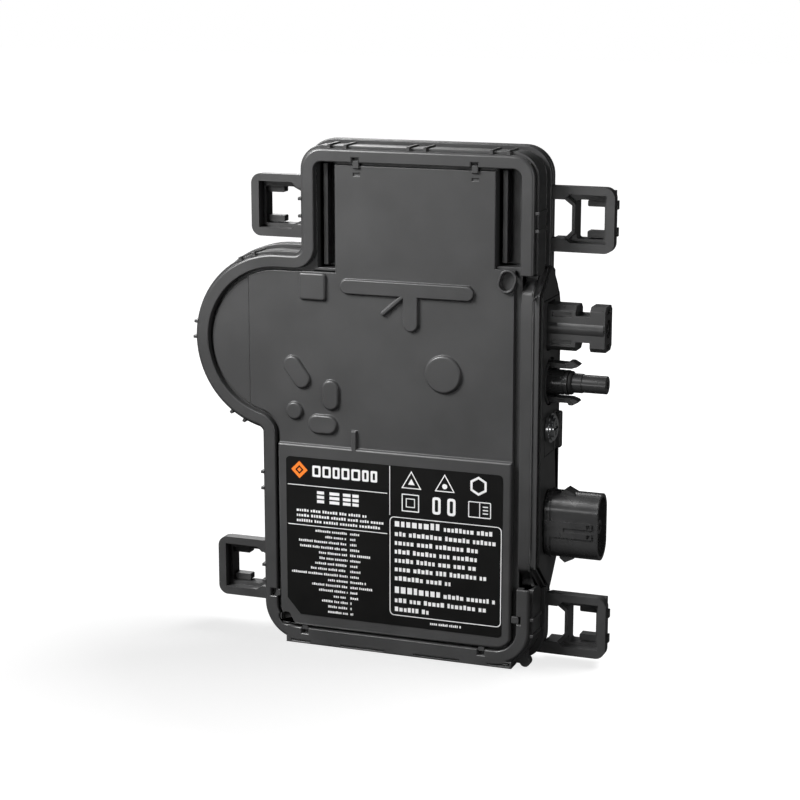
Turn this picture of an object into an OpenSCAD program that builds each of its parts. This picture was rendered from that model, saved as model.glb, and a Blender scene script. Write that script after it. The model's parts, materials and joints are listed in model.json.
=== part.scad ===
// Micro inverter in a sealed plastic case, standing upright on its foot.
// Origin: middle of the foot line, under the front sealing lip.
// +Z up, the label faces -Y, the connectors face +X.

/* [Body] */
// Overall height, foot to top lip
body_h = 212; // [206:1:218]
// Overall depth, rim face to rear face
body_d = 30.2; // [29.6:0.2:33]
// Right edge of the front rim
rim_right = 56.2; // [56.2:0.1:56.4]
// Left edge of the front rim beside the upper block
block_left = -42.2; // [-43:0.2:-41.6]
// Left edge of the front rim beside the label
base_left = -60.3; // [-62:0.2:-59.6]
// Distance from the front plane back to the origin
front_gap = 15; // [14.6:0.1:15.4]

/* [Dome] */
// Centre of the dome, left of the origin
dome_x = -53.4; // [-54:0.2:-53]
// Height of the dome's centre
dome_z = 128.7; // [127:0.1:130]
// Outer radius of the rim round the dome
dome_r = 36.8; // [36:0.2:37.4]

/* [Shell section] */
// Width of the rim's face
rim_w = 5.5; // [5.2:0.1:5.8]
// How far the sealing lips stand out beyond the rim
lip_grow = 2.6; // [2.4:0.1:2.8]
// Wall thickness of both shells
wall = 2.2; // [2:0.1:2.4]

/* [Mounting loops] */
// Height of each loop
loop_h = 25.9; // [25:0.1:28]
// How far each loop stands out from the lip
loop_w = 25.6; // [25:0.1:28]
// Thickness of the loop's outer bar
loop_bar = 3.4; // [3:0.1:3.8]

/* [DC connectors] */
// Radius of the plug's nose
nose_r = 3.65; // [3.4:0.05:3.8]
// Radius of the socket's bore
socket_bore_r = 3.75; // [3.5:0.05:3.9]
// Reach of both connectors beyond the bay wall
dc_reach = 23.6; // [22:0.2:26]

/* [AC connector] */
// Height of the oval shell
ac_h = 27.7; // [26:0.1:28.5]
// Front-to-back size of the oval shell
ac_w = 14.8; // [14.2:0.1:15.4]
// Reach of the shell beyond the bay wall
ac_reach = 23; // [22:0.2:25]

/* [Hidden] */

$fn = 96;
eps = 0.01;

// Depths, each measured back from the front plane
front_y = -front_gap;
rim_t = 1.6;            // rim face plate
slot_end = 2.4;         // narrow slot behind the rim
shoulder_end = 4.2;     // back of the shoulder plate
wall_end = 12.5;        // back of the set-back wall
lip_start = 13.7;
lip_split = 16.2;       // front lip ends, gasket begins
gasket_t = 0.5;
lip_end = 19.6;
tray_end = 24;          // shallow part of the rear tray
lid_face = 1.6;
panel_face = 0.2;       // label panel and raised marks
lid_back = 3.2;
trough_floor = 10;
bay_front = 3.7;        // front edge of the bay wall

// Heights
rim_top = body_h - lip_grow;
rim_bottom = 1.4;
foot_x = [-51.2, 49];
foot_d = 7.5;
top_r = 9;              // rim's upper corners
low_r = 15;             // rim's lower corners
notch_r = 3.6;          // fillet between dome and blocks
wall_grow = 1.0;        // set-back wall, beyond the rim
rib_grow = 1.7;         // small ribs, beyond the rim
slot_in = 1.9;          // depth of the slot behind the rim
lid_gap = 1.2;          // gap between rim and lid

// Bay on the right, where the rear shell reaches forward
bay_x = 59;
bay_in = bay_x - wall;
bay_low = 43;
bay_high = 154;
lid_right = 48.1;
land_x = 50.7;          // inner edge of the set-back land

// Connector centres, height and distance back from the front plane
socket_c = [15.6, 140.7];
plug_c = [16.1, 117.8];
screw_c = [13.8, 99.2];
ac_c = [14.4, 59.8];
adaptor_gap = 0.3;      // clearance round the removable adaptor

// Board stack
board_y = 24.4;
board_t = 1.6;
potting_y = 6.5;
pan_inset = 5;

// ---------------------------------------------------------------- helpers

// Extrudes an XZ outline between two depths from the front plane
module slab(d0, d1) {
    translate([0, front_y + d1, 0]) rotate([90, 0, 0]) linear_extrude(d1 - d0) children();
}

// Extrudes an outline of (depth, height) along X
module across(x0, x1) {
    translate([x0, front_y, 0]) rotate([90, 0, 90]) linear_extrude(x1 - x0) children();
}

// Cylinder along X, centred at (depth, height)
module rod_x(c, r, x0, x1) {
    translate([x0, front_y + c[0], c[1]]) rotate([0, 90, 0]) cylinder(r = r, h = x1 - x0);
}

// Cylinder along Y, centred at (x, z), between two depths
module rod_y(x, z, r, d0, d1) {
    translate([x, front_y + d1, z]) rotate([90, 0, 0]) cylinder(r = r, h = d1 - d0);
}

// Box given by its ranges in x, in depth and in height
module box(x, d, z) {
    translate([x[0], front_y + d[0], z[0]]) cube([x[1] - x[0], d[1] - d[0], z[1] - z[0]]);
}

// Oblong from a to b; on a slant its straight sides are a hair narrower than its ends
module pill2d(a, b, r) {
    angle = atan2(b[1] - a[1], b[0] - a[0]);
    length = norm(b - a);
    half = angle % 90 == 0 ? r : 0.995 * r;
    translate(a) circle(r);
    translate(b) circle(r);
    translate(a) rotate(angle) translate([0, -half]) square([length, 2 * half]);
}

module round_rect(x, z, r) {
    for (cx = [x[0] + r, x[1] - r], cz = [z[0] + r, z[1] - r]) translate([cx, cz]) circle(r);
    translate([x[0] + r, z[0]]) square([x[1] - x[0] - 2 * r, z[1] - z[0]]);
    translate([x[0], z[0] + r]) square([x[1] - x[0], z[1] - z[0] - 2 * r]);
}

// Outline of the case, grown outward by g; the base line and its corner radius can be set apart
module outline(g, base = undef, corner = undef) {
    b = is_undef(base) ? rim_bottom - g : base;
    c = is_undef(corner) ? low_r + g : corner;
    r = dome_r + g;
    left = base_left - g;
    notch = notch_r - g;
    step_x = block_left - g;
    shelf_z = dome_z + r;
    round_rect([left, rim_right + g], [b, dome_z], c);
    round_rect([step_x, rim_right + g], [dome_z - 30, rim_top + g], max(top_r + g, 1));
    translate([dome_x, dome_z]) circle(r);
    translate([dome_x, dome_z]) square([step_x - dome_x + top_r, r]);
    if (notch > 0.5) {
        difference() {
            translate([step_x - notch, shelf_z - eps]) square([notch + eps, notch + eps]);
            translate([step_x - notch, shelf_z + notch]) circle(notch);
        }
        under_x = left - notch;
        under_z = dome_z - sqrt(pow(r + notch, 2) - pow(under_x - dome_x, 2));
        touch = [dome_x, dome_z] + ([under_x, under_z] - [dome_x, dome_z]) * r / (r + notch);
        difference() {
            polygon([[left + eps, under_z], [left + eps, touch[1] + 2], [touch[0], touch[1] + 0.5],
                     touch, [under_x, under_z]]);
            translate([under_x, under_z]) circle(notch + 0.06);
        }
    }
}

module ring(g_out, g_in) {
    difference() {
        outline(g_out);
        outline(g_in);
    }
}

// Sealing lip: its base line is the plane that the case stands on
module lip_outline(g) {
    outline(g, base = lip_grow - g, corner = low_r - 3);
}

// Seam between the shells along the bay, as (depth, height), moved back by o
function seam(o) = [
    [lip_split + o, bay_high + 10.4 - 0.4 * o], [bay_front + o, bay_high - 0.4 * o],
    [bay_front + o, bay_low + 0.4 * o], [lip_split + o, bay_low - 10.6 + 0.4 * o]];

function reversed(list) = [for (i = [len(list) - 1 : -1 : 0]) list[i]];

// Part of the bay that belongs to the rear shell, as (depth, height)
function bay_profile(front, s) = concat(seam(gasket_t + front), [
    [lip_end, bay_low - 14 + s], [25, bay_low - 8 + s], [body_d - s, bay_low - 2 + s],
    [body_d - s, 145 - s], [29.3 - s, 148.6 - s], [25.2 - s, 156.2 - s], [lip_end, 162.6 - s]]);

// ---------------------------------------------------------------- shells

ribs_top = [-30.2, 3.6, 38.1];
rib_pitch = 7;
rib_t = 1.3;
rib_angles = [106, 170, 235];
ribs_left = [[block_left, 181.5], [base_left, 66], [base_left, 25.5]];
ribs_right = [180, 14.6];

module rib_set() {
    for (x = ribs_top, k = [0, 1])
        translate([x + k * rib_pitch - rib_t / 2, rim_top - 3]) square([rib_t, 9]);
    for (z = ribs_right, k = [0, 1])
        translate([rim_right - 3, z + k * rib_pitch - rib_t / 2]) square([9, rib_t]);
    for (p = ribs_left, k = [0, 1])
        translate([p[0] - 6, p[1] + k * rib_pitch - rib_t / 2]) square([9, rib_t]);
    for (a = rib_angles, k = [0, 1]) translate([dome_x, dome_z]) rotate(a + k * 10)
        translate([dome_r - 3, -rib_t / 2]) square([9, rib_t]);
}

trough_left = [block_left + rim_w + 0.4, -28.1];
trough_right = [39.8, rim_right - rim_w];
trough_top = rim_top - rim_w;
trough_wall = 1.2;
trough_low = [160.6, 165.2];    // lower ends, left and right

module trough_opening(x, z0) box(x, [0, trough_floor], [z0, trough_top]);

module trough(x, z0) {
    difference() {
        box([x[0] - trough_wall, x[1] + trough_wall], [lid_back, trough_floor + 1.5],
            [z0 - trough_wall, trough_top + trough_wall]);
        trough_opening(x, z0);
    }
    fin = x[0] + 2.8;
    box([fin - 1, fin + 1], [5.5, trough_floor + eps], [z0 + 1, trough_top - 1]);
}

// Places of the lid's six snap tabs: centre, then half sizes
snap_tabs = [[-18.6, 203, 1.3, 2.6], [31.4, 203, 1.3, 2.6], [-42.4, 6.4, 1.3, 1.8],
             [35.8, 6.4, 1.3, 1.8], [-55.2, 21.1, 2.4, 1.4], [50.4, 20.9, 2, 1.4]];

module snap_tab_outline(grow) {
    for (t = snap_tabs) translate([t[0] - t[2] - grow, t[1] - t[3] - grow])
        square([2 * (t[2] + grow), 2 * (t[3] + grow)]);
}

foot_slots = [[-48.8, -39.6, 0.7], [-26.6, -6.3, 1], [6.3, 26.5, 1], [38.5, 48.2, 0.7]];

module foot() {
    difference() {
        slab(0, foot_d) translate([foot_x[0], 0]) square([foot_x[1] - foot_x[0], rim_bottom + 1.5]);
        for (s = foot_slots) slab(-1, 0.6) pill2d([s[0] + s[2], 1.45], [s[1] - s[2], 1.45], s[2]);
    }
    for (s = foot_slots) slab(0.2, 0.7) pill2d([s[0] + 1, 1.45], [s[1] - 1, 1.45], 0.3);
}

module front_frame_plates() {
    slab(0, rim_t) ring(0, -rim_w);
    slab(rim_t - eps, slot_end) ring(-slot_in, -rim_w);
    slab(slot_end, shoulder_end) ring(wall_grow, -rim_w);
    difference() {
        slab(lid_back, shoulder_end) ring(-rim_w + 0.5, -rim_w - 3.5);
        trough_opening(trough_left, trough_low[0]);
        trough_opening(trough_right, trough_low[1]);
    }
    slab(shoulder_end, wall_end) ring(wall_grow, wall_grow - wall);
    slab(0.8, wall_end) intersection() {
        ring(rib_grow, -slot_in - 0.1);
        rib_set();
    }
    slab(wall_end - eps, lip_start) ring(0.4, wall_grow - wall);
    slab(lip_start - eps, lip_split) difference() {
        lip_outline(lip_grow);
        outline(wall_grow - wall);
    }
}

// Set-back land of the frame in front of the bay, closed back to the seam
module land() {
    upper = [[1.8, bay_high - 6], [2.1, bay_high - 2], [2.9, bay_high + 1.4], [8, bay_high + 5.6],
             [8, bay_high + 9], [lip_start, bay_high + 11]];
    lower = [[lip_start, bay_low - 11], [8, bay_low - 9.2], [8, bay_low - 5.6], [2.9, bay_low - 1.2],
             [2.1, bay_low + 2], [1.8, bay_low + 6]];
    across(land_x - eps, rim_right - 0.3) polygon(concat(upper, seam(0), lower));
    across(rim_right - 0.3 - eps, rim_right + 1.8) polygon(concat(seam(-1.2), reversed(seam(0))));
}

// Small round-ended drain tab beside the foot
module drain_tab() {
    slab(shoulder_end - 0.2, 8) {
        translate([rim_right - 2.8, 2.4]) circle(2.2);
        translate([rim_right - 9.5, 1.6]) square([7.5, 5.5]);
    }
}

module front_frame() color("#3f3f41") {
    difference() {
        union() {
            front_frame_plates();
            foot();
            drain_tab();
            trough(trough_left, trough_low[0]);
            trough(trough_right, trough_low[1]);
        }
        across(land_x, rim_right + 8) polygon([
            [-1, bay_low - 8.8], [8, bay_low - 8.8], [lip_start, bay_low - 10.8],
            [lip_split + 1, bay_low - 10.8], [lip_split + 1, bay_high + 10.6],
            [lip_start, bay_high + 10.6], [8, bay_high + 8.2], [-1, bay_high + 8.2]]);
        slab(-1, rim_t + 0.6) snap_tab_outline(0.15);
        rod_y(fill_port[0], fill_port[1], 3.4, -1, lid_back);
    }
    difference() {
        land();
        slab(-1, rim_t + 0.6) snap_tab_outline(0.15);
    }
}

// Outline of the lid, shrunk by s
module lid_outline(s) {
    difference() {
        intersection() {
            outline(-rim_w - lid_gap - s);
            translate([-200, 0]) square([200 + lid_right - s, 300]);
        }
        translate([-200, 159 - s]) square([200 + trough_left[1] + s, 100]);
        translate([trough_right[0] - s, 164.2 - s]) square([100, 100]);
    }
}

fill_port = [-50.7, 10.9];
lock_ring = [[44.8, 158.7], [45.5, 160.8]];
step_z = 86.5;
crease_x = -66.7;          // left of it the lid lies a little lower

// Raised marks on the lid
module lid_marks() {
    pill2d([-25.7 + 3, 153.8], [31.4 - 3, 153.8], 3);
    pill2d([4.7, 152], [4.7, 140.2], 3.2);
    pill2d([1.1, 150.8], [-7.2, 143.6], 0.9);
    translate([18.6, 120.4]) circle(7.7);
    pill2d([-47.2, 119.7], [-43.1, 114.1], 3.9);
    pill2d([-30.2, 110.8], [-30.2, 105.6], 3.7);
    translate([-46.4, 100.5]) circle(3.7);
    pill2d([-36.3, 95.6], [-31.4, 95.6], 4);
    translate([-21, step_z - 0.5]) square([2.2, 8]);
    round_rect([-43.7, -31.9], [147.3, 158.6], 1.5);
}

module lid() color("#434345") {
    difference() {
        union() {
            slab(lid_face, lid_back) lid_outline(0);
            slab(panel_face, lid_face + eps) intersection() {
                lid_outline(0);
                translate([-100, 0]) square([200, step_z]);
            }
            slab(panel_face, lid_face + eps) lid_marks();
            slab(0, lid_face + eps) pill2d(lock_ring[0], lock_ring[1], 3.65);
            slab(0.6, rim_t + 0.5) intersection() {
                snap_tab_outline(0);
                ring(-rim_w + 0.9, -rim_w - lid_gap - 1);
            }
            rod_y(fill_port[0], fill_port[1], 3, panel_face, lid_back);
        }
        slab(-1, 2.5) pill2d(lock_ring[0], lock_ring[1], 2.75);
        rod_y(fill_port[0], fill_port[1], 2.15, -1, lid_back + 1);
        slab(-1, lid_face + 0.5) for (t = [snap_tabs[0], snap_tabs[1]])
            translate([t[0] - 1.3, 198.6]) square([2.6, 1]);
        slab(-1, lid_face + 0.4) translate([crease_x - 60, step_z + 2]) square([60, 80]);
    }
}

module fill_port_plug() color("#1d1d1e") rod_y(fill_port[0], fill_port[1], 2.15, 1.6, lid_back);

module label_plate() color("#161617") {
    difference() {
        slab(0, panel_face) round_rect([-50, 44.5], [13, 81.2], 1.8);
        slab(-1, 1) polygon([[-51, 20.8], [-50.4, 20.2], [-43.4, 12.2], [-43, 11], [-52, 11]]);
    }
}

module housing_gasket() color("#101010") {
    difference() {
        slab(lip_split, lip_split + gasket_t) difference() {
            outline(1.6, base = 0.6);
            outline(0);
        }
        across(land_x, rim_right + 8) polygon(bay_profile(-gasket_t - 1.5, 0));
    }
    across(land_x + 1.2, rim_right + 1) polygon(concat(seam(0), reversed(seam(gasket_t))));
}

// The adaptor's main plate and its screw ear, as ranges of depth and of height
plate_d = [5.8, 26.4];
plate_z = [104.4, 151.4];
ear_d = [9.4, 21.2];
ear_z = [88.2, 105];
plug_block_d = [8, 23.4];
plug_block_z = [108.4, 149.4];

// Rectangle from ranges of depth and of height, grown by g
module face(d, z, g) {
    translate([d[0] - g, z[0] - g]) square([d[1] - d[0] + 2 * g, z[1] - z[0] + 2 * g]);
}

module rear_housing() color("#38383a") {
    difference() {
        union() {
            slab(lip_split + gasket_t, lip_end) lip_outline(lip_grow);
            slab(lip_end - eps, tray_end) outline(wall_grow);
            slab(tray_end - eps, body_d) outline(-pan_inset);
            across(land_x, bay_x) polygon(bay_profile(0, 0));
        }
        slab(lip_split, tray_end - wall) outline(wall_grow - wall);
        slab(tray_end - wall - eps, body_d - wall) outline(-pan_inset - wall);
        across(land_x - 6, bay_in) polygon(bay_profile(1.1, wall));
        across(bay_in - 1, bay_x + 1) face(plate_d, plate_z, adaptor_gap);
        across(bay_in + 0.2, bay_x + 1) face(ear_d, ear_z, adaptor_gap);
        rod_x(screw_c, 2.1, bay_in - 12, bay_x);
        across(bay_in - 1, bay_x + 1) ac_oval(-0.8);
    }
    difference() {
        union() {
            across(bay_x - 13, bay_in + 0.2) translate([screw_c[0] - 5, 88.5]) square([10, 16]);
            across(bay_x - 9, bay_in + eps) face(plate_d, plate_z, 1.1);
        }
        rod_x(screw_c, 2.1, bay_x - 14, bay_x);
        across(bay_x - 14, bay_x) face(plug_block_d, plug_block_z, 1.3);
        across(bay_in - 1.1, bay_x) face(plate_d, plate_z, adaptor_gap);
    }
    box([bay_x - eps, bay_x + 2.7], [22.6, 26], [88.8, 104]);   // stop tab behind the screw
    for (p = board_screw_places) difference() {
        rod_y(p[0], p[1], 4, board_y + board_t, body_d - wall + eps);
        rod_y(p[0], p[1], 1.5, board_y, body_d - wall - 0.4);
    }
}

// ---------------------------------------------------------------- mounting loops

loop_z = [170.6, 3.7];        // lower edges on the right: upper, lower
loop_z_left = [170.6, 13];    // and on the left
loop_front = 14;
loop_plate_end = 18.4;
loop_back = 24.4;           // back of the deep collar
loop_low = 3.6;             // the front plate's opening, from
loop_high = loop_h - 3.1;   // and to
loop_far = loop_w - loop_bar;
collar_inset = 1.8;
divider_x = 8;
divider_w = 1.3;
gusset = 3.3;

// Opening of the front plate; it runs right up to the lip
module loop_mouth() polygon([
    [-1, loop_low + 1.7], [5.2, loop_low + 1.7], [7.8, loop_low], [loop_far, loop_low],
    [loop_far, loop_high], [7.3, loop_high], [5.2, loop_high - 2.1], [-1, loop_high - 2.1]]);

// The collar's smaller opening, beside the lip
module loop_small() polygon([
    [-1, loop_low + 1.4], [divider_x - gusset, loop_low + 1.4], [divider_x, loop_low + 4.7],
    [divider_x, loop_high - 4.5], [divider_x - gusset, loop_high - 2.1], [-1, loop_high - 2.1]]);

// The collar's larger opening
module loop_large() {
    round_rect([divider_x + divider_w, loop_far - 1.6], [loop_low + 1.4, loop_high - 2.3], 0.8);
}

// The one opening of an undivided collar, narrower beside the lip
module loop_whole() {
    loop_large();
    polygon([[-1, loop_low + 3.9], [2.7, loop_low + 3.9], [divider_x + 0.3, loop_low + 1.4],
             [divider_x + 3, loop_low + 1.4], [divider_x + 3, loop_high - 2.3],
             [divider_x + 0.3, loop_high - 2.3], [2.7, loop_high - 5.1], [-1, loop_high - 5.1]]);
}

// Front part of the divider, bowed towards the outer end
module loop_bow() {
    x = divider_x - gusset;
    polygon([[x, loop_low + 1], [x, loop_low + 1.4], [divider_x, loop_low + 4.7],
             [divider_x, loop_high - 4.5], [x, loop_high - 2.1], [x, loop_high - 1.6],
             [x + 1.2, loop_high - 1.2], [divider_x + divider_w, loop_high - 3.9],
             [divider_x + divider_w, loop_low + 4.1], [x + 1.5, loop_low + 0.9]]);
}

// One loop in its own plane: x runs outward from the lip, the lower edge is at zero
module loop_body(divided) {
    slab(loop_front, loop_plate_end) difference() {
        union() {
            square([loop_w - 5, loop_h]);
            round_rect([loop_w - 12, loop_w], [0, loop_h], 4.2);
        }
        loop_mouth();
    }
    slab(loop_plate_end - 0.4, loop_back) difference() {
        translate([0, collar_inset]) square([loop_w - collar_inset, loop_h - 2 * collar_inset]);
        if (divided) {
            loop_small();
            loop_large();
        } else loop_whole();
    }
    if (divided) slab(loop_front + 1.5, loop_plate_end) loop_bow();
    // spring fingers that grip the strap
    for (z = [[loop_low + 1.8, loop_low + 4.5], [loop_high - 5.1, loop_high - 2.6]])
        slab(loop_back - 4.4, loop_back - 0.4) round_rect([13.2, loop_far - 1.2], z, 0.6);
    for (z = [6.8, 17.4])
        box([loop_w - eps, loop_w + 0.8], [loop_plate_end - 2.4, loop_plate_end], [z, z + 3.4]);
}

module loop_right(z) color("#3a3a3c") difference() {
    translate([rim_right + lip_grow - 4, 0, z]) {
        translate([4, 0, 0]) loop_body(true);
        box([-1, 4 + eps], [loop_front, loop_plate_end], [0, loop_low + 1]);
    }
    slab(loop_front - 1, lip_split + gasket_t) lip_outline(lip_grow + eps);
    slab(lip_split, loop_back + 1) lip_outline(lip_grow);
    across(land_x, bay_x + 1) polygon(bay_profile(-gasket_t - 1.2, -1));
}

module loop_left(x, z) color("#3a3a3c") translate([x, 0, z]) mirror([1, 0, 0]) loop_body(false);

module loop_upper_right() loop_right(loop_z[0]);
module loop_lower_right() loop_right(loop_z[1]);
module loop_upper_left() loop_left(block_left - lip_grow, loop_z_left[0]);
module loop_lower_left() loop_left(base_left - lip_grow, loop_z_left[1]);

// ---------------------------------------------------------------- DC adaptor

socket_base = bay_x - 1.5;
socket_end = bay_x + dc_reach;
plug_boss_r = 9.8;
arm_root = bay_x - 1.2;
arm_z = [125.1, 111];
contact_r = 1.9;

module dc_adaptor_body() color("#3a3a3c") {
    difference() {
        union() {
            across(bay_in - 0.8, bay_x) face(plate_d, plate_z, 0);
            across(bay_in + 0.2 + adaptor_gap, bay_x) face(ear_d, ear_z, 0);
            across(40, bay_in - 0.8 + eps) face(plug_block_d, plug_block_z, 0);
            rod_x(screw_c, 3.6, bay_x - eps, bay_x + 0.4);
        }
        across(socket_base, bay_x + 1) socket_profile(0.8);
        rod_x(plug_c, plug_boss_r, bay_x - 1.5, bay_x + 1);
        rod_x(screw_c, 2.1, bay_x - 5, bay_x + 1);
        for (c = [socket_c, plug_c]) rod_x(c, contact_r, 39, bay_x);
        for (z = arm_z)
            box([arm_root - 2.6, bay_x], [socket_c[0] - 3, socket_c[0] + 3], [z - 2.2, z + 2.2]);
        across(41.5, 50) translate([6, 113]) square([20, 2.4]);
        across(41.5, 50) translate([6, 144]) square([20, 2.4]);
    }
    difference() {
        rod_x(plug_c, plug_boss_r - 0.6, bay_x - 1.5 - eps, bay_x + 0.5);
        rod_x(plug_c, plug_boss_r - 1.6, bay_x - 2, bay_x + 1);
        for (z = arm_z)
            box([arm_root - 3, bay_x + 1], [socket_c[0] - 3, socket_c[0] + 3], [z - 2.2, z + 2.2]);
    }
}

module adaptor_seal() color("#151515") difference() {
    across(bay_in - 4.6, bay_in - 2.6) face(plug_block_d, plug_block_z, 1);
    across(bay_in - 5, bay_in) face(plug_block_d, plug_block_z, 0);
}

module adaptor_screw() color("#c9cbcd") {
    head_x = bay_x + 0.4;
    difference() {
        union() {
            rod_x(screw_c, 6, head_x, head_x + 1.2);
            rod_x(screw_c, 5.2, head_x + 1.2 - eps, head_x + 2.2);
            rod_x(screw_c, 4, head_x + 2.2 - eps, head_x + 2.9);
            rod_x(screw_c, 2, bay_x - 11, head_x + eps);
        }
        across(head_x + 1.2, head_x + 4) translate([screw_c[0] - 3, screw_c[1] - 0.6]) square([6, 1.2]);
        across(head_x + 1.2, head_x + 4) translate([screw_c[0] - 0.6, screw_c[1] - 3]) square([1.2, 6]);
    }
}

// Outer section of the DC socket as (depth, height), grown by g
module socket_profile(g) {
    d = 5.5 + g;
    h = 9.1 + g;
    c = 1.8;
    translate(socket_c) polygon([[-d, -h + c], [-d + c, -h], [d - c, -h], [d, -h + c],
                                 [d, h - c], [d - c, h], [-d + c, h], [-d, h - c]]);
}

module dc_socket_shell() color("#39393b") {
    difference() {
        union() {
            across(socket_base, socket_end) socket_profile(0);
            intersection() {
                rod_x([socket_c[0] - 1.6, socket_c[1]], 4.5, bay_x, socket_end - 0.5);
                across(bay_x, socket_end) translate([socket_c[0] - 6.2, 130]) square([6, 20]);
            }
        }
        difference() {
            rod_x(socket_c, socket_bore_r, bay_x + 3, socket_end + 1);
            rod_x(socket_c, 2.6, bay_x + 2, socket_end - 0.7);   // sleeve round the contact
        }
        rod_x(socket_c, contact_r, socket_base - 1, socket_end + 1);
        for (side = [-1, 1]) {
            notch_z = socket_c[1] + side * 7.4;
            across(bay_x + 11.6, bay_x + 17.4) translate([0, notch_z - 2.2]) square([30, 4.4]);
            across(bay_x + 2, bay_x + 10) translate([0, socket_c[1] + side * 5.6 - 0.9])
                square([socket_c[0] - 4.6, 1.8]);
            across(socket_end - 1.2, socket_end + 1)
                translate([socket_c[0] - 2.4, socket_c[1] + side * 7 - 1]) square([4.8, 2]);
        }
    }
}

module dc_socket_contact() color("#b08d3c") difference() {
    rod_x(socket_c, contact_r, 36.5, socket_end - 6);
    rod_x(socket_c, 1.1, socket_end - 12, socket_end);
}

collar_r = 5.05;
collar_end = bay_x + 8;
oring_w = 1.75;
root_r = nose_r + 0.3;
root_end = bay_x + 13.6;

module dc_plug_body() color("#333335") difference() {
    union() {
        rod_x(plug_c, collar_r, bay_x - 1.5, collar_end);
        rod_x(plug_c, root_r, collar_end - eps, root_end);
        rod_x(plug_c, nose_r, root_end - eps, socket_end);
    }
    rod_x(plug_c, contact_r, bay_x - 2, socket_end - 4);
    rod_x(plug_c, 1.35, socket_end - 5, socket_end + 1);
    difference() {
        rod_x(plug_c, collar_r + 1, bay_x + 6, bay_x + 6.6);
        rod_x(plug_c, collar_r - 0.3, bay_x + 5, bay_x + 7);
    }
}

module dc_plug_seal() color("#141414") translate([collar_end + oring_w / 2, front_y + plug_c[0], plug_c[1]])
    rotate([0, 90, 0]) rotate_extrude() translate([root_r, 0]) intersection() {
        circle(oring_w / 2 - eps);
        translate([0, -oring_w]) square([2 * oring_w, 2 * oring_w]);
    }

module dc_plug_contact() color("#b08d3c") rod_x(plug_c, contact_r, 36.5, socket_end - 4);

// Snap arm beside the plug; side is 1 for the upper arm and -1 for the lower one
module snap_arm(z, side) {
    profile = [[arm_root - 2.2, -1.2], [bay_x + 9.4, -1.1], [bay_x + 11.8, -0.3], [bay_x + 12.5, 0.5],
               [bay_x + 10, 1.9], [bay_x + 8.4, 1.9], [bay_x + 8, 1], [arm_root - 2.2, 1.2]];
    translate([0, front_y + socket_c[0] + 2.6, z]) rotate([90, 0, 0]) linear_extrude(5.2)
        polygon([for (p = profile) [p[0], side * p[1]]]);
}

module upper_snap_arm() color("#39393b") snap_arm(arm_z[0], 1);
module lower_snap_arm() color("#39393b") snap_arm(arm_z[1], -1);

module adaptor_blades() color("#c8a24a") for (c = [socket_c, plug_c])
    box([30.5, 36.5], [c[0] - 3, c[0] + 3], [c[1] - 0.6, c[1] + 0.6]);

module dc_header() color("#d9d4c4") difference() {
    box([26.5, 35.5], [9, board_y], [112, 146.6]);
    for (c = [socket_c, plug_c]) box([28, 37], [c[0] - 3.6, c[0] + 3.6], [c[1] - 1.2, c[1] + 1.2]);
}

// ---------------------------------------------------------------- AC connector

module ac_oval(g) {
    r = ac_w / 2 + g;
    pill2d(ac_c - [0, (ac_h - ac_w) / 2], ac_c + [0, (ac_h - ac_w) / 2], r);
}

ac_end = bay_x + ac_reach;

module ac_connector_shell() color("#38383a") {
    difference() {
        union() {
            across(bay_x + 1, ac_end) ac_oval(0);
            across(bay_in - 2, bay_x + 1 + eps) ac_oval(-1.1);
            across(bay_x + 2.2, bay_x + 3.2) ac_oval(0.5);
            for (z = [ac_c[1] + 0.2, ac_c[1] - 3.9])
                box([bay_x + 1, ac_end - 2.2], [ac_c[0] - ac_w / 2 - 0.5, ac_c[0] - 5], [z, z + 2.4]);
            box([bay_x + 3, bay_x + 9], [ac_c[0] - ac_w / 2 - 0.4, ac_c[0] - 5],
                [ac_c[1] - 1.6, ac_c[1] + 0.3]);
            for (side = [-1, 1]) ac_bump(side);
        }
        across(bay_x + 3, ac_end + 1) ac_oval(-1.6);
        across(bay_in - 3, bay_x + 4) ac_oval(-3.4);
        for (z = [ac_c[1] + 0.6, ac_c[1] - 3.5])
            box([ac_end - 4.4, ac_end - 3], [ac_c[0] - ac_w / 2 - 1, ac_c[0] - ac_w / 2 + 0.3],
                [z, z + 1.6]);
    }
}

// Pyramid bump that a mating connector's latch hooks over
module ac_bump(side) {
    top = ac_c[1] + side * ac_h / 2;
    translate([0, front_y + ac_c[0] + 2.5, 0]) rotate([90, 0, 0]) linear_extrude(6.5)
        polygon([[bay_x + 6.6, top - side * 2], [bay_x + 6.6, top - side * 0.2],
                 [bay_x + 8.8, top + side * 1.5], [bay_x + 12.6, top - side * 0.4],
                 [bay_x + 12.6, top - side * 2]]);
}

module ac_connector_seal() color("#121212") difference() {
    across(bay_x, bay_x + 1) ac_oval(-0.5);
    across(bay_x - 1, bay_x + 2) ac_oval(-1.1);
}

ac_pins = [[-2.5, 6.6], [2.5, 6.6], [-2.5, -6.6], [2.5, -6.6]];

module ac_pin_carrier() color("#4a4a4c") difference() {
    union() {
        across(bay_x - 8, bay_x + 3) ac_oval(-3.45);
        across(bay_x + 3 - eps, bay_x + 5) ac_oval(-2.2);
        rod_x(ac_c, 2.9, bay_x + 5 - eps, ac_end - 1);
    }
    rod_x(ac_c, 1.5, ac_end - 9, ac_end);
    for (p = ac_pins) rod_x(ac_c + p, 1.2, bay_x - 9, bay_x + 6);
}

module ac_contact_pins() color("#c9a65a") for (p = ac_pins) rod_x(ac_c + p, 1.2, bay_x - 10, bay_x + 15);

module ac_lead_wires() color("#8a4a2a") for (pin = ac_pins) {
    p = ac_c + pin;
    turn_x = pin[0] < 0 ? 43 : 46.5;
    rod_x(p, 1, turn_x - 1, bay_x - 10);
    rod_y(turn_x, p[1], 1, p[0], board_y);
}

// ---------------------------------------------------------------- inside

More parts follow.
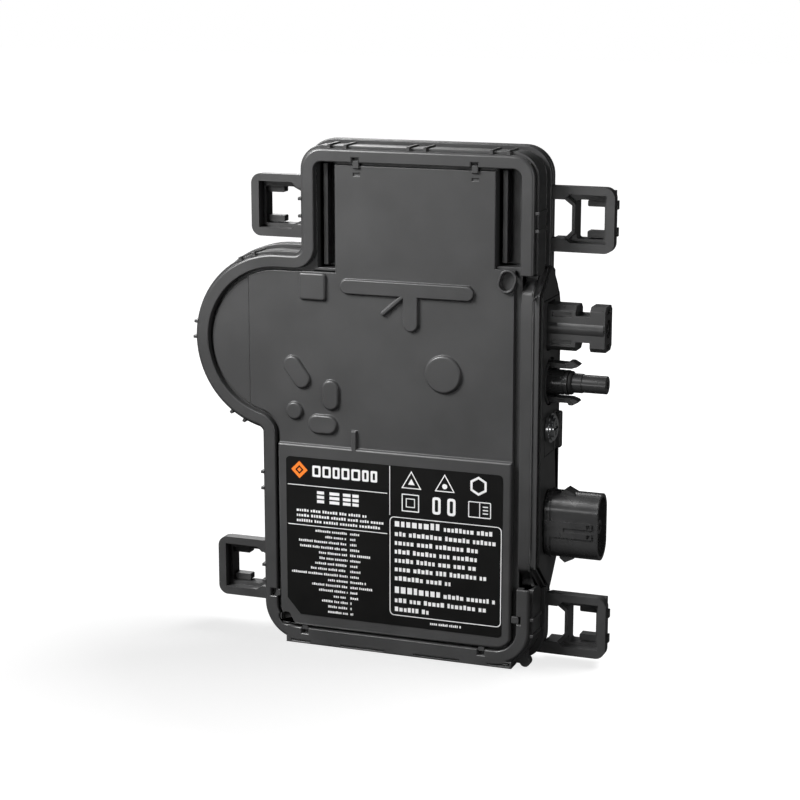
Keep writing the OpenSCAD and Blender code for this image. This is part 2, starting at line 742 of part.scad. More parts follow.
board_screw_places = [[-47, 19], [43, 16], [-73.9, 144.5], [-29.6, 193], [37.5, 193]];

module board_outline(s) difference() {
    outline(-pan_inset - wall - s);
    translate([34.6 - s, 84 - s]) square([60, 72 + 2 * s]);
}

module circuit_board() color("#1f6b3c") difference() {
    slab(board_y, board_y + board_t) board_outline(1.2);
    for (p = board_screw_places) rod_y(p[0], p[1], 1.5, board_y - 1, board_y + board_t + 1);
}

module heat_spreader() color("#b9bcc0") difference() {
    slab(board_y + board_t, body_d - wall) board_outline(1.6);
    for (p = board_screw_places) rod_y(p[0], p[1], 4.4, board_y, body_d);
}

cap_x = [-18, -3, 12, 27];
cap_r = 7;

module part_keepouts() {
    rod_y(dome_x, dome_z, 23, 0, board_y + 1);
    rod_y(14, 43, 17.2, 0, board_y + 1);
    for (x = cap_x) box([x - cap_r, x + cap_r], [0, board_y + 1], [166, 198]);
    box([-52, -22], [0, board_y + 1], [24, 84]);
    box([-14, 12], [0, board_y + 1], [66, 82]);
    box([18, 41], [0, board_y + 1], [64, 82]);
    box([-24, 22], [0, board_y + 1], [90, 124]);
    box([26, 60], [0, board_y + 1], [83, 157]);
    box([36, 60], [0, board_y + 1], [30, 78]);
    box([-22, 0], [0, board_y + 1], [134, 160]);
}

module potting_compound() color("#26262a") difference() {
    slab(potting_y, board_y) board_outline(1.2);
    part_keepouts();
    for (p = board_screw_places) rod_y(p[0], p[1], 4, potting_y - 1, board_y + 1);
    for (t = [[trough_left, trough_low[0]], [trough_right, trough_low[1]]])
        box([t[0][0] - trough_wall - 0.3, t[0][1] + trough_wall + 0.3], [0, trough_floor + 2],
            [t[1] - trough_wall - 0.3, 220]);
}

module transformer_core() color("#3b3b40") difference() {
    rod_y(dome_x, dome_z, 22.5, 7, board_y);
    difference() {
        rod_y(dome_x, dome_z, 19, 9.5, board_y - 2.5);
        rod_y(dome_x, dome_z, 9, 9, board_y);
    }
    rod_y(dome_x, dome_z, 2.5, 6, board_y + 1);
    for (side = [-1, 1]) box([dome_x - 6, dome_x + 6], [9.5, board_y - 2.5],
                             [dome_z + side * 20.5 - 3, dome_z + side * 20.5 + 3]);
}

module transformer_winding() color("#b5722f") for (i = [0 : 3]) difference() {
    rod_y(dome_x, dome_z, 18.6, 9.9 + i * 2.9, 12.5 + i * 2.9);
    rod_y(dome_x, dome_z, 9.4, 9 + i * 2.9, 13 + i * 2.9);
}

choke_x = 14;
choke_z = 43;

module choke_core() color("#4a5a48") difference() {
    rod_y(choke_x, choke_z, 14.5, 13, 22);
    rod_y(choke_x, choke_z, 8, 12, 23);
}

module choke_winding() color("#c07a30") difference() {
    for (a = [0 : 30 : 150]) translate([choke_x, 0, choke_z]) rotate([0, a, 0])
        translate([-choke_x, 0, -choke_z])
        box([choke_x - 16.4, choke_x + 16.4], [11.6, 23.4], [choke_z - 1.5, choke_z + 1.5]);
    rod_y(choke_x, choke_z, 6.8, 10, 25);
    choke_core();
}

module bulk_capacitors() color("#2b3a66") for (x = cap_x)
    translate([x, front_y + board_y - cap_r, 167]) cylinder(r = cap_r, h = 30);

module power_transistors() color("#1b1b1d") for (i = [0, 1], j = [0 : 3])
    box([-49 + i * 14, -39 + i * 14], [board_y - 4.6, board_y], [27 + j * 14, 37 + j * 14]);

module relay() color("#e4e2da") box([-13, 11], [board_y - 14, board_y], [67, 81]);

module film_capacitor() color("#c9b24a") box([19, 40], [board_y - 13, board_y], [65, 81]);

module varistors() color("#2f5fa8") for (x = [-16, -7])
    rod_y(x, 147, 4, board_y - 9, board_y);

module fuse() color("#d8d2c0") translate([-20, front_y + board_y - 3, 97]) rotate([0, 90, 0])
    cylinder(r = 3, h = 20);

module controller_chips() color("#17171a") {
    box([-4, 10], [board_y - 1.6, board_y], [104, 118]);
    box([14, 20], [board_y - 1.4, board_y], [108, 114]);
    box([-18, -10], [board_y - 1.4, board_y], [106, 114]);
}

module board_screws() color("#b5b8bc") for (p = board_screw_places) {
    rod_y(p[0], p[1], 1.45, board_y - eps, body_d - wall - 0.8);
    rod_y(p[0], p[1], 2.9, board_y - 2.2, board_y);
}

front_frame();
lid();
label_plate();
fill_port_plug();
housing_gasket();
rear_housing();
loop_upper_left();
loop_upper_right();
loop_lower_left();
loop_lower_right();
dc_adaptor_body();
adaptor_seal();
adaptor_screw();
adaptor_blades();
dc_header();
dc_socket_shell();
dc_socket_contact();
dc_plug_body();
dc_plug_contact();
dc_plug_seal();
upper_snap_arm();
lower_snap_arm();
ac_connector_shell();
ac_connector_seal();
ac_pin_carrier();
ac_contact_pins();
ac_lead_wires();
circuit_board();
potting_compound();
heat_spreader();
transformer_core();
transformer_winding();
choke_core();
choke_winding();
bulk_capacitors();
power_transistors();
relay();
film_capacitor();
varistors();
fuse();
controller_chips();
board_screws();
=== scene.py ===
import json
import math
import random

import bmesh
import bpy
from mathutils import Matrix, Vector


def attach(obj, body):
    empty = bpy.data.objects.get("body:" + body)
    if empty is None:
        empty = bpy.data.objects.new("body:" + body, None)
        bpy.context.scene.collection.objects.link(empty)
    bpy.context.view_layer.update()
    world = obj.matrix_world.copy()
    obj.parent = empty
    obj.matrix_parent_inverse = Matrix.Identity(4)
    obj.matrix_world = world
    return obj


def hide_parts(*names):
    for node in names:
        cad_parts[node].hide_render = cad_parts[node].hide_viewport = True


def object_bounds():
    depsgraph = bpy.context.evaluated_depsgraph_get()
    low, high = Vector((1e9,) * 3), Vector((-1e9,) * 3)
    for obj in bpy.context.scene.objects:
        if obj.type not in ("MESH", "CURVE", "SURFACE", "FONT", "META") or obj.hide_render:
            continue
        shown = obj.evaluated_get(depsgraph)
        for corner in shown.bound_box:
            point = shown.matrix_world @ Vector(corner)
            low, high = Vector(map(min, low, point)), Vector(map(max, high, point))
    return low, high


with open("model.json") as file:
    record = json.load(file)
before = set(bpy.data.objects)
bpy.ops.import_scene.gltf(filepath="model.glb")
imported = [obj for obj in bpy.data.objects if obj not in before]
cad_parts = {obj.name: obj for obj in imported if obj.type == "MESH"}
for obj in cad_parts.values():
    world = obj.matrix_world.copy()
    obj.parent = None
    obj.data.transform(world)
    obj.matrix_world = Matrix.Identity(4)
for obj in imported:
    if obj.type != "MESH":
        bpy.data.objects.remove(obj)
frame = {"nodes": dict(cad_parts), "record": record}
NODES = frame["nodes"]
CAD_LOW, CAD_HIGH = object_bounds()

MM = 0.001
FRONT = -15.0  # the rim's front plane, in mm

# ---------------------------------------------------------------- camera, lights, floor

AZIMUTH, ELEVATION = math.radians(20.45), math.radians(12.6)
CAMERA_PLACE = (0.28927, -0.78922, 0.29354)
SENSOR_MM, LENS_MM = 36.0, 94.19
WHITE = (1, 1, 1, 1)
LIGHT_AIM = (0.0, 0.0, 0.12)
# name, place, width, watts, height where it differs
LIGHTS = (
    ("key_upper_left", (-0.37, -0.38, 0.53), 0.28, 9.0, None),
    ("top_back", (0.02, 0.10, 0.85), 0.5, 0.3, None),
    ("front_low", (-0.36, -1.00, 0.08), 0.60, 0.7, 0.14),
    ("right_side", (0.60, -0.40, 0.26), 0.14, 1.3, 0.4),
    ("back_fill", (-0.50, 0.62, 0.62), 0.6, 4.8, None),
)
FLOOR_LAMP_PLACE, FLOOR_LAMP_SIZE, FLOOR_LAMP_WATTS = (0.45, 0.35, 0.95), 0.7, 14.0
ROOM_COLOUR, ROOM_STRENGTH = (0.93, 0.95, 1.0, 1), 0.018


def direction_back(azimuth, elevation):
    """Unit vector from the object towards the camera."""
    flat = math.cos(elevation)
    return Vector((math.sin(azimuth) * flat, -math.cos(azimuth) * flat, math.sin(elevation)))


def make_camera():
    data = bpy.data.cameras.new("camera")
    data.sensor_width = SENSOR_MM
    data.lens = LENS_MM
    data.clip_start, data.clip_end = 0.01, 50.0
    camera = bpy.data.objects.new("camera", data)
    bpy.context.scene.collection.objects.link(camera)
    camera.location = CAMERA_PLACE
    camera.rotation_mode = "QUATERNION"
    camera.rotation_quaternion = direction_back(AZIMUTH, ELEVATION).to_track_quat("Z", "Y")
    bpy.context.scene.camera = camera


def area_light(name, place, aim, size, power, size_y=None):
    data = bpy.data.lights.new(name, "AREA")
    data.energy = power
    data.shape = "RECTANGLE"
    data.size = size
    data.size_y = size_y or size
    light = bpy.data.objects.new(name, data)
    bpy.context.scene.collection.objects.link(light)
    light.location = place
    light.rotation_mode = "QUATERNION"
    light.rotation_quaternion = (Vector(place) - Vector(aim)).to_track_quat("Z", "Y")
    light.visible_camera = False
    return light


def make_studio():
    """The lights, and a room that is white to the camera and dim to everything else."""
    scene = bpy.context.scene
    scene.view_settings.view_transform = "Standard"
    scene.view_settings.look = "None"
    lights = [area_light(name, place, LIGHT_AIM, width, watts, height)
              for name, place, width, watts, height in LIGHTS]
    world = bpy.data.worlds.new("studio")
    scene.world = world
    world.use_nodes = True
    nodes, links = world.node_tree.nodes, world.node_tree.links
    nodes.clear()
    out = nodes.new("ShaderNodeOutputWorld")
    mix = nodes.new("ShaderNodeMixShader")
    path = nodes.new("ShaderNodeLightPath")
    soft = nodes.new("ShaderNodeBackground")
    soft.inputs["Color"].default_value = ROOM_COLOUR
    soft.inputs["Strength"].default_value = ROOM_STRENGTH
    seen = nodes.new("ShaderNodeBackground")
    seen.inputs["Color"].default_value = WHITE
    seen.inputs["Strength"].default_value = 1.0
    links.new(path.outputs["Is Camera Ray"], mix.inputs["Fac"])
    links.new(soft.outputs["Background"], mix.inputs[1])
    links.new(seen.outputs["Background"], mix.inputs[2])
    links.new(mix.outputs["Shader"], out.inputs["Surface"])
    return lights


def light_floor_alone(floor, lights):
    """The studio lights leave the floor out; a broad lamp from the upper right lights only the floor."""
    lamp = area_light("floor_lamp", FLOOR_LAMP_PLACE, (0, 0, 0), FLOOR_LAMP_SIZE, FLOOR_LAMP_WATTS)
    for light, state in [(light, "EXCLUDE") for light in lights] + [(lamp, "INCLUDE")]:
        group = bpy.data.collections.new(light.name + "_receivers")
        group.objects.link(floor)
        group.collection_objects[0].light_linking.link_state = state
        light.light_linking.receiver_collection = group


# ---------------------------------------------------------------- materials

def node_material(name):
    mat = bpy.data.materials.new(name)
    mat.use_nodes = True
    return mat, mat.node_tree.nodes, mat.node_tree.links, mat.node_tree.nodes["Principled BSDF"]


def noise(nodes, links, coords, scale, detail=3.0, rough=0.5):
    tex = nodes.new("ShaderNodeTexNoise")
    tex.inputs["Scale"].default_value = scale
    tex.inputs["Detail"].default_value = detail
    tex.inputs["Roughness"].default_value = rough
    links.new(coords, tex.inputs["Vector"])
    return tex.outputs["Fac"]


def ranged(nodes, links, value, low, high, start=0.3, end=0.7):
    ramp = nodes.new("ShaderNodeMapRange")
    ramp.inputs["From Min"].default_value = start
    ramp.inputs["From Max"].default_value = end
    ramp.inputs["To Min"].default_value = low
    ramp.inputs["To Max"].default_value = high
    links.new(value, ramp.inputs["Value"])
    return ramp.outputs["Result"]


def two_tone(nodes, links, value, dark, light, start=0.35, end=0.65):
    ramp = nodes.new("ShaderNodeValToRGB")
    ramp.color_ramp.elements[0].position = start
    ramp.color_ramp.elements[0].color = (*dark, 1)
    ramp.color_ramp.elements[1].position = end
    ramp.color_ramp.elements[1].color = (*light, 1)
    links.new(value, ramp.inputs["Fac"])
    return ramp.outputs["Color"]


FLOOR_HALF, FLOOR_CELLS = 4.0, 16
FLOOR_DROP = 0.0001
FLOOR_GREY, FLOOR_GREY_UNSEEN = 0.34, 0.05
FLOOR_GLOW = (0.80, 1.02)       # beside the object and far from it
FLOOR_GLOW_REACH = (0.12, 0.30)  # distances between which the glow grows


def grey(value):
    return (value, value, value, 1)


def make_floor():
    """A pale floor that shows a soft shadow near the object; a painted glow, weaker beside the object and
    stronger away from it, makes it fade to white.
    """
    bm = bmesh.new()
    bmesh.ops.create_grid(bm, x_segments=FLOOR_CELLS, y_segments=FLOOR_CELLS, size=FLOOR_HALF)
    mesh = bpy.data.meshes.new("floor")
    bm.to_mesh(mesh)
    bm.free()
    floor = bpy.data.objects.new("floor", mesh)
    bpy.context.scene.collection.objects.link(floor)
    floor.location = (0, 0, CAD_LOW.z - FLOOR_DROP)
    mat, nodes, links, _ = node_material("floor_painted_glow")
    nodes.clear()
    out = nodes.new("ShaderNodeOutputMaterial")
    mix = nodes.new("ShaderNodeMixShader")
    path = nodes.new("ShaderNodeLightPath")
    away = nodes.new("ShaderNodeBsdfDiffuse")
    away.inputs["Color"].default_value = grey(FLOOR_GREY_UNSEEN)
    near = nodes.new("ShaderNodeBsdfDiffuse")
    near.inputs["Color"].default_value = grey(FLOOR_GREY)
    # painted glow: the floor gives off its own light to the camera, growing with distance from the object
    glow = nodes.new("ShaderNodeEmission")
    both = nodes.new("ShaderNodeAddShader")
    reach = nodes.new("ShaderNodeVectorMath")
    reach.operation = "LENGTH"
    links.new(nodes.new("ShaderNodeTexCoord").outputs["Object"], reach.inputs[0])
    links.new(ranged(nodes, links, reach.outputs["Value"], *FLOOR_GLOW, *FLOOR_GLOW_REACH),
              glow.inputs["Strength"])
    links.new(near.outputs["BSDF"], both.inputs[0])
    links.new(glow.outputs["Emission"], both.inputs[1])
    links.new(path.outputs["Is Camera Ray"], mix.inputs["Fac"])
    links.new(away.outputs["BSDF"], mix.inputs[1])
    links.new(both.outputs["Shader"], mix.inputs[2])
    links.new(mix.outputs["Shader"], out.inputs["Surface"])
    mesh.materials.append(mat)
    return floor


def moulded_plastic(name, base, rough=0.46, grain=2400.0, depth=0.000012, spread=0.12, level=0.5):
    """Fine spark-eroded moulding texture: mottled tone, uneven gloss and two sizes of grain."""
    mat, nodes, links, shader = node_material(name)
    coords = nodes.new("ShaderNodeTexCoord").outputs["Object"]
    broad = noise(nodes, links, coords, 45.0, 4.0)
    fine = noise(nodes, links, coords, grain, 2.0, 0.6)
    dark = tuple(c * (1 - spread) for c in base)
    light = tuple(c * (1 + spread) for c in base)
    links.new(two_tone(nodes, links, broad, dark, light), shader.inputs["Base Color"])
    links.new(ranged(nodes, links, noise(nodes, links, coords, 160.0, 3.0), rough - 0.04, rough + 0.05),
              shader.inputs["Roughness"])
    bump = nodes.new("ShaderNodeBump")
    bump.inputs["Strength"].default_value = 0.55
    bump.inputs["Distance"].default_value = depth
    links.new(fine, bump.inputs["Height"])
    links.new(bump.outputs["Normal"], shader.inputs["Normal"])
    shader.inputs["Specular IOR Level"].default_value = level
    return mat


def metal(name, base, rough, grain_scale=(900.0, 900.0, 900.0), spread=0.08):
    mat, nodes, links, shader = node_material(name)
    coords = nodes.new("ShaderNodeTexCoord").outputs["Object"]
    mapping = nodes.new("ShaderNodeMapping")
    mapping.inputs["Scale"].default_value = grain_scale
    links.new(coords, mapping.inputs["Vector"])
    streak = noise(nodes, links, mapping.outputs["Vector"], 1.0, 3.0)
    cloud = noise(nodes, links, coords, 220.0, 3.0)
    worn = tuple(c * (1 - spread) for c in base)
    links.new(two_tone(nodes, links, cloud, worn, base), shader.inputs["Base Color"])
    links.new(ranged(nodes, links, streak, rough * 0.75, rough * 1.3), shader.inputs["Roughness"])
    bump = nodes.new("ShaderNodeBump")
    bump.inputs["Strength"].default_value = 0.25
    bump.inputs["Distance"].default_value = 0.000006
    links.new(streak, bump.inputs["Height"])
    links.new(bump.outputs["Normal"], shader.inputs["Normal"])
    shader.inputs["Metallic"].default_value = 1.0
    return mat


def rubber(name, base):
    mat, nodes, links, shader = node_material(name)
    coords = nodes.new("ShaderNodeTexCoord").outputs["Object"]
    fine = noise(nodes, links, coords, 1500.0, 3.0)
    broad = noise(nodes, links, coords, 90.0, 3.0)
    links.new(two_tone(nodes, links, broad, base, tuple(c * 1.5 for c in base)), shader.inputs["Base Color"])
    links.new(ranged(nodes, links, fine, 0.6, 0.78), shader.inputs["Roughness"])
    bump = nodes.new("ShaderNodeBump")
    bump.inputs["Strength"].default_value = 0.4
    bump.inputs["Distance"].default_value = 0.00001
    links.new(fine, bump.inputs["Height"])
    links.new(bump.outputs["Normal"], shader.inputs["Normal"])
    return mat


# Moulded pieces: base colour, roughness, then the grain, bump depth, spread or specular level that differs
PLASTICS = {
    "shell_plastic": ((0.046, 0.046, 0.0464), 0.34, dict(depth=0.000016)),
    "lid_plastic": ((0.047, 0.047, 0.0474), 0.40, dict(depth=0.00002)),
    "socket_plastic": ((0.036, 0.036, 0.0364), 0.31, dict(grain=2600.0, depth=0.000008, level=0.8)),
    "connector_plastic": ((0.030, 0.030, 0.0303), 0.25, dict(grain=3200.0, depth=0.000006, level=1.0)),
    "label_film": (
        (0.003, 0.003, 0.0029), 0.50, dict(grain=5200.0, depth=0.000004, spread=0.18, level=0.22)),
    "capacitor_can": ((0.03, 0.05, 0.16), 0.34, dict(grain=900.0)),
    "header_nylon": ((0.70, 0.66, 0.55), 0.50, dict(grain=1600.0)),
    "chip_plastic": ((0.012, 0.012, 0.013), 0.55, dict(grain=2600.0)),
    "board_laminate": ((0.012, 0.11, 0.045), 0.30, dict(grain=1400.0, depth=0.00001, spread=0.2)),
    "potting": ((0.02, 0.02, 0.023), 0.62, dict(grain=700.0, depth=0.00004, spread=0.25)),
    "ferrite": ((0.025, 0.025, 0.028), 0.58, dict(grain=1100.0, depth=0.00003, spread=0.25)),
    "film_yellow": ((0.60, 0.45, 0.07), 0.36, dict(grain=800.0)),
    "varistor_blue": ((0.03, 0.12, 0.42), 0.34, dict(grain=800.0)),
    "fuse_ceramic": ((0.72, 0.70, 0.62), 0.42, dict(grain=1200.0)),
    "print_white": ((0.78, 0.78, 0.78), 0.50, dict(grain=3000.0, depth=0.000003, spread=0.03)),
    "print_orange": ((0.92, 0.21, 0.02), 0.48, dict(grain=3000.0, depth=0.000003, spread=0.04)),
}
RUBBERS = {
    "port_rubber": (0.006, 0.006, 0.006),
    "seal_rubber": (0.008, 0.008, 0.008),
}
# Metals: base colour, roughness, stretch of the brushing where there is one
METALS = {
    "screw_steel": ((0.80, 0.81, 0.82), 0.17),
    "contact_brass": ((0.83, 0.66, 0.34), 0.26),
    "copper": ((0.78, 0.42, 0.25), 0.34),
    "spreader_aluminium": ((0.72, 0.73, 0.75), 0.36, (2600.0, 90.0, 90.0)),
}


def make_materials():
    made = {name: moulded_plastic(name, base, rough, **rest)
            for name, (base, rough, rest) in PLASTICS.items()}
    made.update({name: rubber(name, base) for name, base in RUBBERS.items()})
    made.update({name: metal(name, *values) for name, values in METALS.items()})
    return made


# ---------------------------------------------------------------- rounded mouldings

WELD = 1.5e-6           # corners closer than this, in metres, are one
FLAT_WITHIN_DEG = 0.5   # faces that turn less than this are one
SHARP_FROM_DEG = 27.0   # edges that turn more than this are rounded
LEVEL_SLACK = 0.06      # how far, in mm, an edge may be from the depth it is sorted by


def edge_angle(edge):
    return edge.calc_face_angle(0.0) if len(edge.link_faces) == 2 else 0.0


def rounded(node, name, material, default, rules=(), segments=2, body="inverter", clamp=False):
    """A moulding with the CAD node's shape whose sharp edges are rounded.

    rules are (test, radius in mm); the first test that the edge's middle in mm and the edge pass is used.
    """
    bm = bmesh.new()
    bm.from_mesh(NODES[node].data)
    bmesh.ops.remove_doubles(bm, verts=bm.verts, dist=WELD)
    bmesh.ops.dissolve_limit(bm, angle_limit=math.radians(FLAT_WITHIN_DEG), verts=bm.verts, edges=bm.edges,
                             delimit=set())
    largest = max([default] + [r for _, r in rules])
    weight = bm.edges.layers.float.new("bevel_weight_edge")
    for face in bm.faces:
        face.smooth = True
    for edge in bm.edges:
        if math.degrees(edge_angle(edge)) < SHARP_FROM_DEG:
            continue
        edge.smooth = False
        radius = default
        middle = (edge.verts[0].co + edge.verts[1].co) / 2 / MM
        for test, wanted in rules:
            if test(middle, edge):
                radius = wanted
                break
        edge[weight] = radius / largest
    mesh = bpy.data.meshes.new(name)
    bm.to_mesh(mesh)
    bm.free()
    piece = bpy.data.objects.new(name, mesh)
    bpy.context.scene.collection.objects.link(piece)
    bevel = piece.modifiers.new("rounding", "BEVEL")
    bevel.width = largest * MM
    bevel.segments = segments
    bevel.limit_method = "WEIGHT"
    bevel.use_clamp_overlap = clamp
    bevel.harden_normals = True
    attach(piece, body)
    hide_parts(node)
    mesh.materials.append(MATERIALS[material])


def at_depth(depth):
    """Edges that run level at this depth, in mm, behind the front plane."""
    return lambda p, e: (abs(p.y - (FRONT + depth)) < LEVEL_SLACK
                         and abs(e.verts[0].co.y - e.verts[1].co.y) < 0.05 * MM)


def between(low, high):
    """Edges whose middle lies between two depths."""
    return lambda p, e: FRONT + low <= p.y <= FRONT + high


# The rim's outer outline: two rounded boxes (left, right, low, high, corner) and a disc (x, z, radius)
RIM_BASE = (-60.3, 56.2, 1.4, 128.7, 15)
RIM_BLOCK = (-42.2, 56.2, 98.7, 209.4, 9)
RIM_DOME = (-53.4, 128.7, 36.8)


def in_case(x, z):
    """Whether a point lies inside the front rim's outer outline."""
    def in_box(x0, x1, z0, z1, r):
        return math.hypot(max(abs(x - (x0 + x1) / 2) - (x1 - x0) / 2 + r, 0),
                          max(abs(z - (z0 + z1) / 2) - (z1 - z0) / 2 + r, 0)) < r
    dome_x, dome_z, dome_r = RIM_DOME
    return in_box(*RIM_BASE) or in_box(*RIM_BLOCK) or math.hypot(x - dome_x, z - dome_z) < dome_r


def rim_outside(p, e):
    """Front edges on the outer side of the rim."""
    side = sum((f.normal for f in e.link_faces), Vector())
    side.y = 0
    if not at_depth(0.0)(p, e) or side.length < 0.3:
        return False
    side.normalize()
    return not in_case(p.x + side.x, p.z + side.z)


def inside_box(x0, x1, z0, z1, low, high):
    """Edges whose middle lies in a box: x and z in mm, then two depths."""
    return lambda p, e: x0 <= p.x <= x1 and z0 <= p.z <= z1 and FRONT + low <= p.y <= FRONT + high


# ---------------------------------------------------------------- label print

class Print:
    """Flat marks of ink, laid just in front of the label."""

    def __init__(self, name, material, lift=0.03):
        self.bm = bmesh.new()
        self.name, self.material = name, material
        self.y = (FRONT - lift) * MM

    def polygon(self, points):
        verts = [self.bm.verts.new((x * MM, self.y, z * MM)) for x, z in points]
        face = self.bm.faces.new(verts)
        face.normal_update()
        if face.normal.y > 0:
            face.normal_flip()

    def bar(self, x0, x1, z0, z1):
        self.polygon([(x0, z0), (x1, z0), (x1, z1), (x0, z1)])

    def band(self, outer, inner):
        """The strip between two closed outlines with the same count of points."""
        count = len(outer)
        for i in range(count):
            j = (i + 1) % count
            self.polygon([outer[i], outer[j], inner[j], inner[i]])

    def finish(self, body="inverter"):
        mesh = bpy.data.meshes.new(self.name)
        self.bm.to_mesh(mesh)
        self.bm.free()
        mesh.materials.append(MATERIALS[self.material])
        piece = bpy.data.objects.new(self.name, mesh)
        bpy.context.scene.collection.objects.link(piece)
        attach(piece, body)


def rounded_outline(x0, x1, z0, z1, r, steps=6):
    points = []
    corners = ((x1 - r, z0 + r, -90), (x1 - r, z1 - r, 0), (x0 + r, z1 - r, 90), (x0 + r, z0 + r, 180))
    for cx, cz, start in corners:
        for k in range(steps + 1):
            a = math.radians(start + 90 * k / steps)
            points.append((cx + r * math.cos(a), cz + r * math.sin(a)))
    return points


def regular(cx, cz, r, count):
    """A regular outline with one corner at the top."""
    angles = [math.radians(90 + 360 * k / count) for k in range(count)]
    return [(cx + r * math.cos(a), cz + r * math.sin(a)) for a in angles]


TALL_SHARE = 0.35   # share of the blocks that are taller


def word_row(ink, rng, x0, x1, z, cap, letter, words=(3, 8)):
    """A row of plain blocks that stands for a line of small print, from x0 to x1 about the height z."""
    gap = letter * 0.42
    x = x0
    left = rng.randint(*words)
    while x + letter * 0.6 < x1:
        width = min(letter * rng.uniform(0.75, 1.15), x1 - x)
        top = cap * (0.5 if rng.random() < TALL_SHARE else 0.36)
        ink.bar(x, x + width, z - cap * 0.36, z + top)
        x += width + gap
        left -= 1
        if left == 0:
            x += letter * 0.75
            left = rng.randint(*words)


# Layout of the print in mm: x to the right, z up
PRINT_SEED = 7
HEADING_WIDTHS = (4.2, 4.2, 3.6, 4.0, 4.4, 3.4, 3.4)
TABLE_TOP, TABLE_PITCH = 50.1, 2.317
TABLE_LEFTS = (
    -37.0, -32.6, -44.5, -44.0, -35.5, -35.3, -37.2, -39.2,
    -47.8, -31.5, -38.7, -35.6, -29.0, -34.3, -31.5, -31.6)
TABLE_RIGHTS = (
    -17.0, -18.7, -18.7, -17.4, -11.6, -17.0, -17.8, -17.0,
    -17.0, -14.5, -11.0, -18.3, -17.4, -20.6, -20.7, -20.3)
# Rows inside the outlined box: height and right end
BOX_ROWS = (
    (52.3, 43.2), (48.5, 34.2), (44.75, 34.2), (41.0, 34.0),
    (37.2, 37.9), (33.3, 22.6), (23.8, 39.0), (20.0, 14.2))


def make_label_print():
    """Plain blocks in rows, two rules, an outlined box and six plain shapes, with no lettering."""
    rng = random.Random(PRINT_SEED)
    ink = Print("label_print_white", "print_white")
    # heading: hollow blocks beside an orange lozenge
    x = -38.2
    for width in HEADING_WIDTHS:
        ink.band(rounded_outline(x, x + width - 0.5, 73.3, 78.1, 0.5, 2),
                 rounded_outline(x + 0.95, x + width - 1.45, 74.25, 77.15, 0.3, 2))
        x += width + 0.35
    for z in (69.25, 52.1):
        ink.bar(-49.3, -5.0, z - 0.16, z + 0.16)
    for x, width in ((-36.2, 3.2), (-30.6, 4.4), (-24.6, 3.4), (-20.4, 2.8)):
        ink.bar(x, x + width, 62.2, 63.5)
        ink.bar(x, x + width, 64.1, 65.4)
        ink.bar(x, x + width, 66.0, 67.3)
    for z, x1 in ((58.4, -14.2), (56.2, -6.2), (54.0, -7.2)):
        word_row(ink, rng, -45.4, x1, z, 1.35, 0.85)
    for k, (left, right) in enumerate(zip(TABLE_LEFTS, TABLE_RIGHTS)):
        z = TABLE_TOP - TABLE_PITCH * k
        word_row(ink, rng, left, -22.7, z, 1.15, 0.62)
        word_row(ink, rng, -21.5, right, z, 1.15, 0.62)
    ink.bar(-4.05, -3.75, 60.2, 80.9)
    ink.band(rounded_outline(-4.0, 44.3, 17.3, 59.7, 2.0),
             rounded_outline(-3.66, 43.96, 17.64, 59.36, 1.7))
    for z, x1 in BOX_ROWS:
        word_row(ink, rng, -1.7, x1, z, 2.25, 1.3)
    for z, x1 in ((56.7, 40.7), (28.2, 42.6)):
        word_row(ink, rng, -1.7, 18.2, z, 3.2, 1.9, (20, 20))
        word_row(ink, rng, 19.6, x1, z - 0.5, 2.25, 1.25)
    word_row(ink, rng, 13.8, 27.4, 15.35, 1.2, 0.6)
    # six plain shapes in two rows
    ink.band(regular(5.5, 74.6, 5.0, 3), regular(5.5, 74.6, 4.2, 3))
    ink.band(regular(5.5, 74.6, 1.7, 3), regular(5.5, 74.6, 0.001, 3))
    ink.band(regular(19.9, 74.6, 5.0, 3), regular(19.9, 74.6, 4.2, 3))
    ink.band(regular(19.9, 74.4, 1.1, 24), regular(19.9, 74.4, 0.001, 24))
    ink.band(regular(34.3, 75.9, 4.0, 6), regular(34.3, 75.9, 2.9, 6))
    ink.band(rounded_outline(1.3, 8.9, 62.3, 69.8, 0.2, 1), rounded_outline(1.75, 8.45, 62.75, 69.35, 0.1, 1))
    ink.band(rounded_outline(3.1, 7.1, 64.1, 68.0, 0.1, 1), rounded_outline(3.5, 6.7, 64.5, 67.6, 0.1, 1))
    for x in (14.6, 21.0):
        ink.band(rounded_outline(x, x + 3.6, 62.3, 69.6, 1.2, 4),
                 rounded_outline(x + 1.1, x + 2.5, 63.4, 68.5, 0.5, 4))
    ink.band(rounded_outline(30.0, 39.7, 62.6, 69.4, 0.4, 2), rounded_outline(30.4, 39.3, 63.0, 69.0, 0.2, 2))
    ink.bar(34.7, 35.05, 62.8, 69.2)
    for z in (64.6, 66.0, 67.4):
        ink.bar(36.2, 38.4, z - 0.25, z + 0.25)
    ink.finish()
    badge = Print("label_print_orange", "print_orange", 0.035)
    badge.band(regular(-44.0, 75.8, 3.7, 4), regular(-44.0, 75.8, 1.9, 4))
    badge.band(regular(-44.0, 75.8, 1.0, 4), regular(-44.0, 75.8, 0.001, 4))
    badge.finish()


# ---------------------------------------------------------------- build

make_camera()
STUDIO_LIGHTS = make_studio()
light_floor_alone(make_floor(), STUDIO_LIGHTS)
MATERIALS = make_materials()

SLOT_OF = {s["node"]: s["material_slot"] for s in frame["record"]["subparts"]}
for name, obj in NODES.items():
    obj.data.materials.clear()
    obj.data.materials.append(MATERIALS[SLOT_OF[name]])


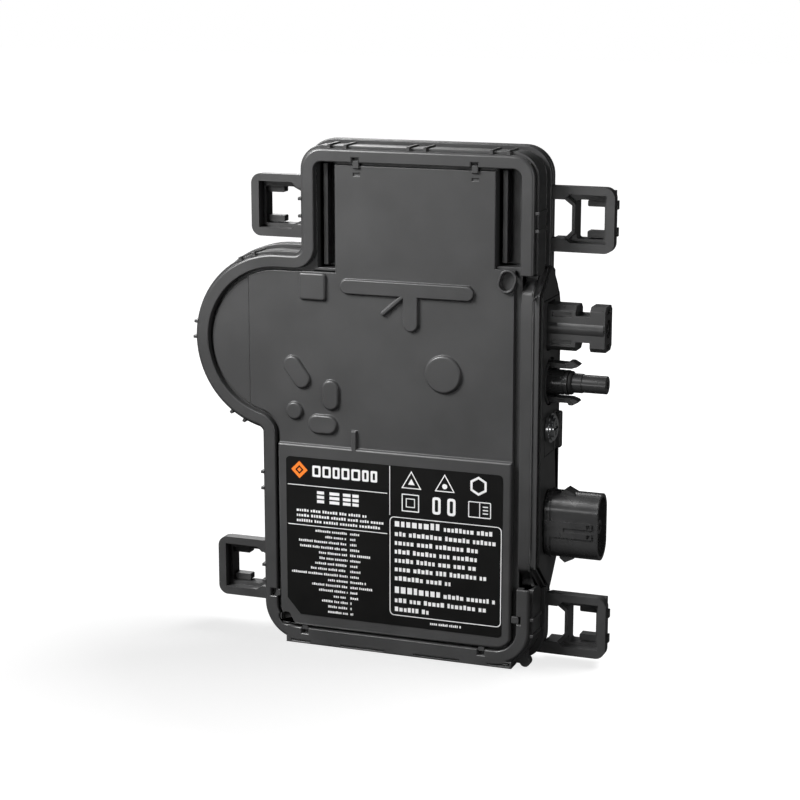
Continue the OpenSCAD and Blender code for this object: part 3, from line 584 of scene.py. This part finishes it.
# Places on the front where a special radius is needed
FOOT = inside_box(-51, 51, -1, 3.2, -0.1, 6)
LAND_UPPER_END = inside_box(50.8, 56.5, 150, 166, 0.5, 9)
LAND_LOWER_END = inside_box(50.8, 56.5, 32, 50, 0.5, 9)
BAR_MARKS = inside_box(-30, 36, 136, 158, 0.1, 0.3)
STEP_MARK = inside_box(-22, -18, 86.6, 95, 0.1, 0.3)
FILL_PORT = inside_box(-60, -40, 4, 26, -0.1, 0.3)
LOCK_RING = inside_box(30, 49, 155.5, 166, -0.1, 1.7)

rounded("front_frame", "front_frame_moulding", "shell_plastic", 0.22, [
    (FOOT, 0.25), (rim_outside, 1.35), (at_depth(0.0), 0.6), (LAND_UPPER_END, 1.2), (LAND_LOWER_END, 1.0),
    (between(13.5, 16.3), 0.5), (at_depth(1.8), 0.5), (at_depth(1.6), 0.35)], 4)
rounded("lid", "lid_moulding", "lid_plastic", 0.18, [
    (BAR_MARKS, 0.6), (STEP_MARK, 0.6), (FILL_PORT, 0.3), (LOCK_RING, 0.28), (at_depth(0.2), 1.0),
    (at_depth(1.6), 0.4), (at_depth(2.0), 0.3), (at_depth(0.0), 0.3), (at_depth(0.6), 0.2)], 4)
rounded("rear_housing", "rear_housing_moulding", "shell_plastic", 0.25, [
    (between(16.6, 19.7), 0.5), (between(21.0, 30.3), 0.8)], 3)
for loop in ("loop_upper_left", "loop_upper_right", "loop_lower_left", "loop_lower_right"):
    rounded(loop, loop + "_moulding", "shell_plastic", 0.25, [(at_depth(14.0), 0.5)], 3, clamp=True)
# Small pieces: node, piece, material, radius in mm, segments, body
SMALL_PIECES = (
    ("ac_connector_shell", "ac_connector_moulding", "connector_plastic", 0.3, 3, "inverter"),
    ("dc_adaptor_body", "dc_adaptor_moulding", "shell_plastic", 0.3, 2, "dc_adaptor"),
    ("dc_socket_shell", "dc_socket_moulding", "socket_plastic", 0.35, 3, "dc_adaptor"),
    ("dc_plug_body", "dc_plug_moulding", "connector_plastic", 0.25, 3, "dc_adaptor"),
    ("upper_snap_arm", "upper_snap_moulding", "connector_plastic", 0.2, 2, "upper_latch"),
    ("lower_snap_arm", "lower_snap_moulding", "connector_plastic", 0.2, 2, "lower_latch"),
    ("adaptor_screw", "adaptor_screw_turned", "screw_steel", 0.25, 3, "adaptor_screw"),
)
for node, piece, material, radius, segments, body in SMALL_PIECES:
    rounded(node, piece, material, radius, segments=segments, body=body, clamp=True)

make_label_print()
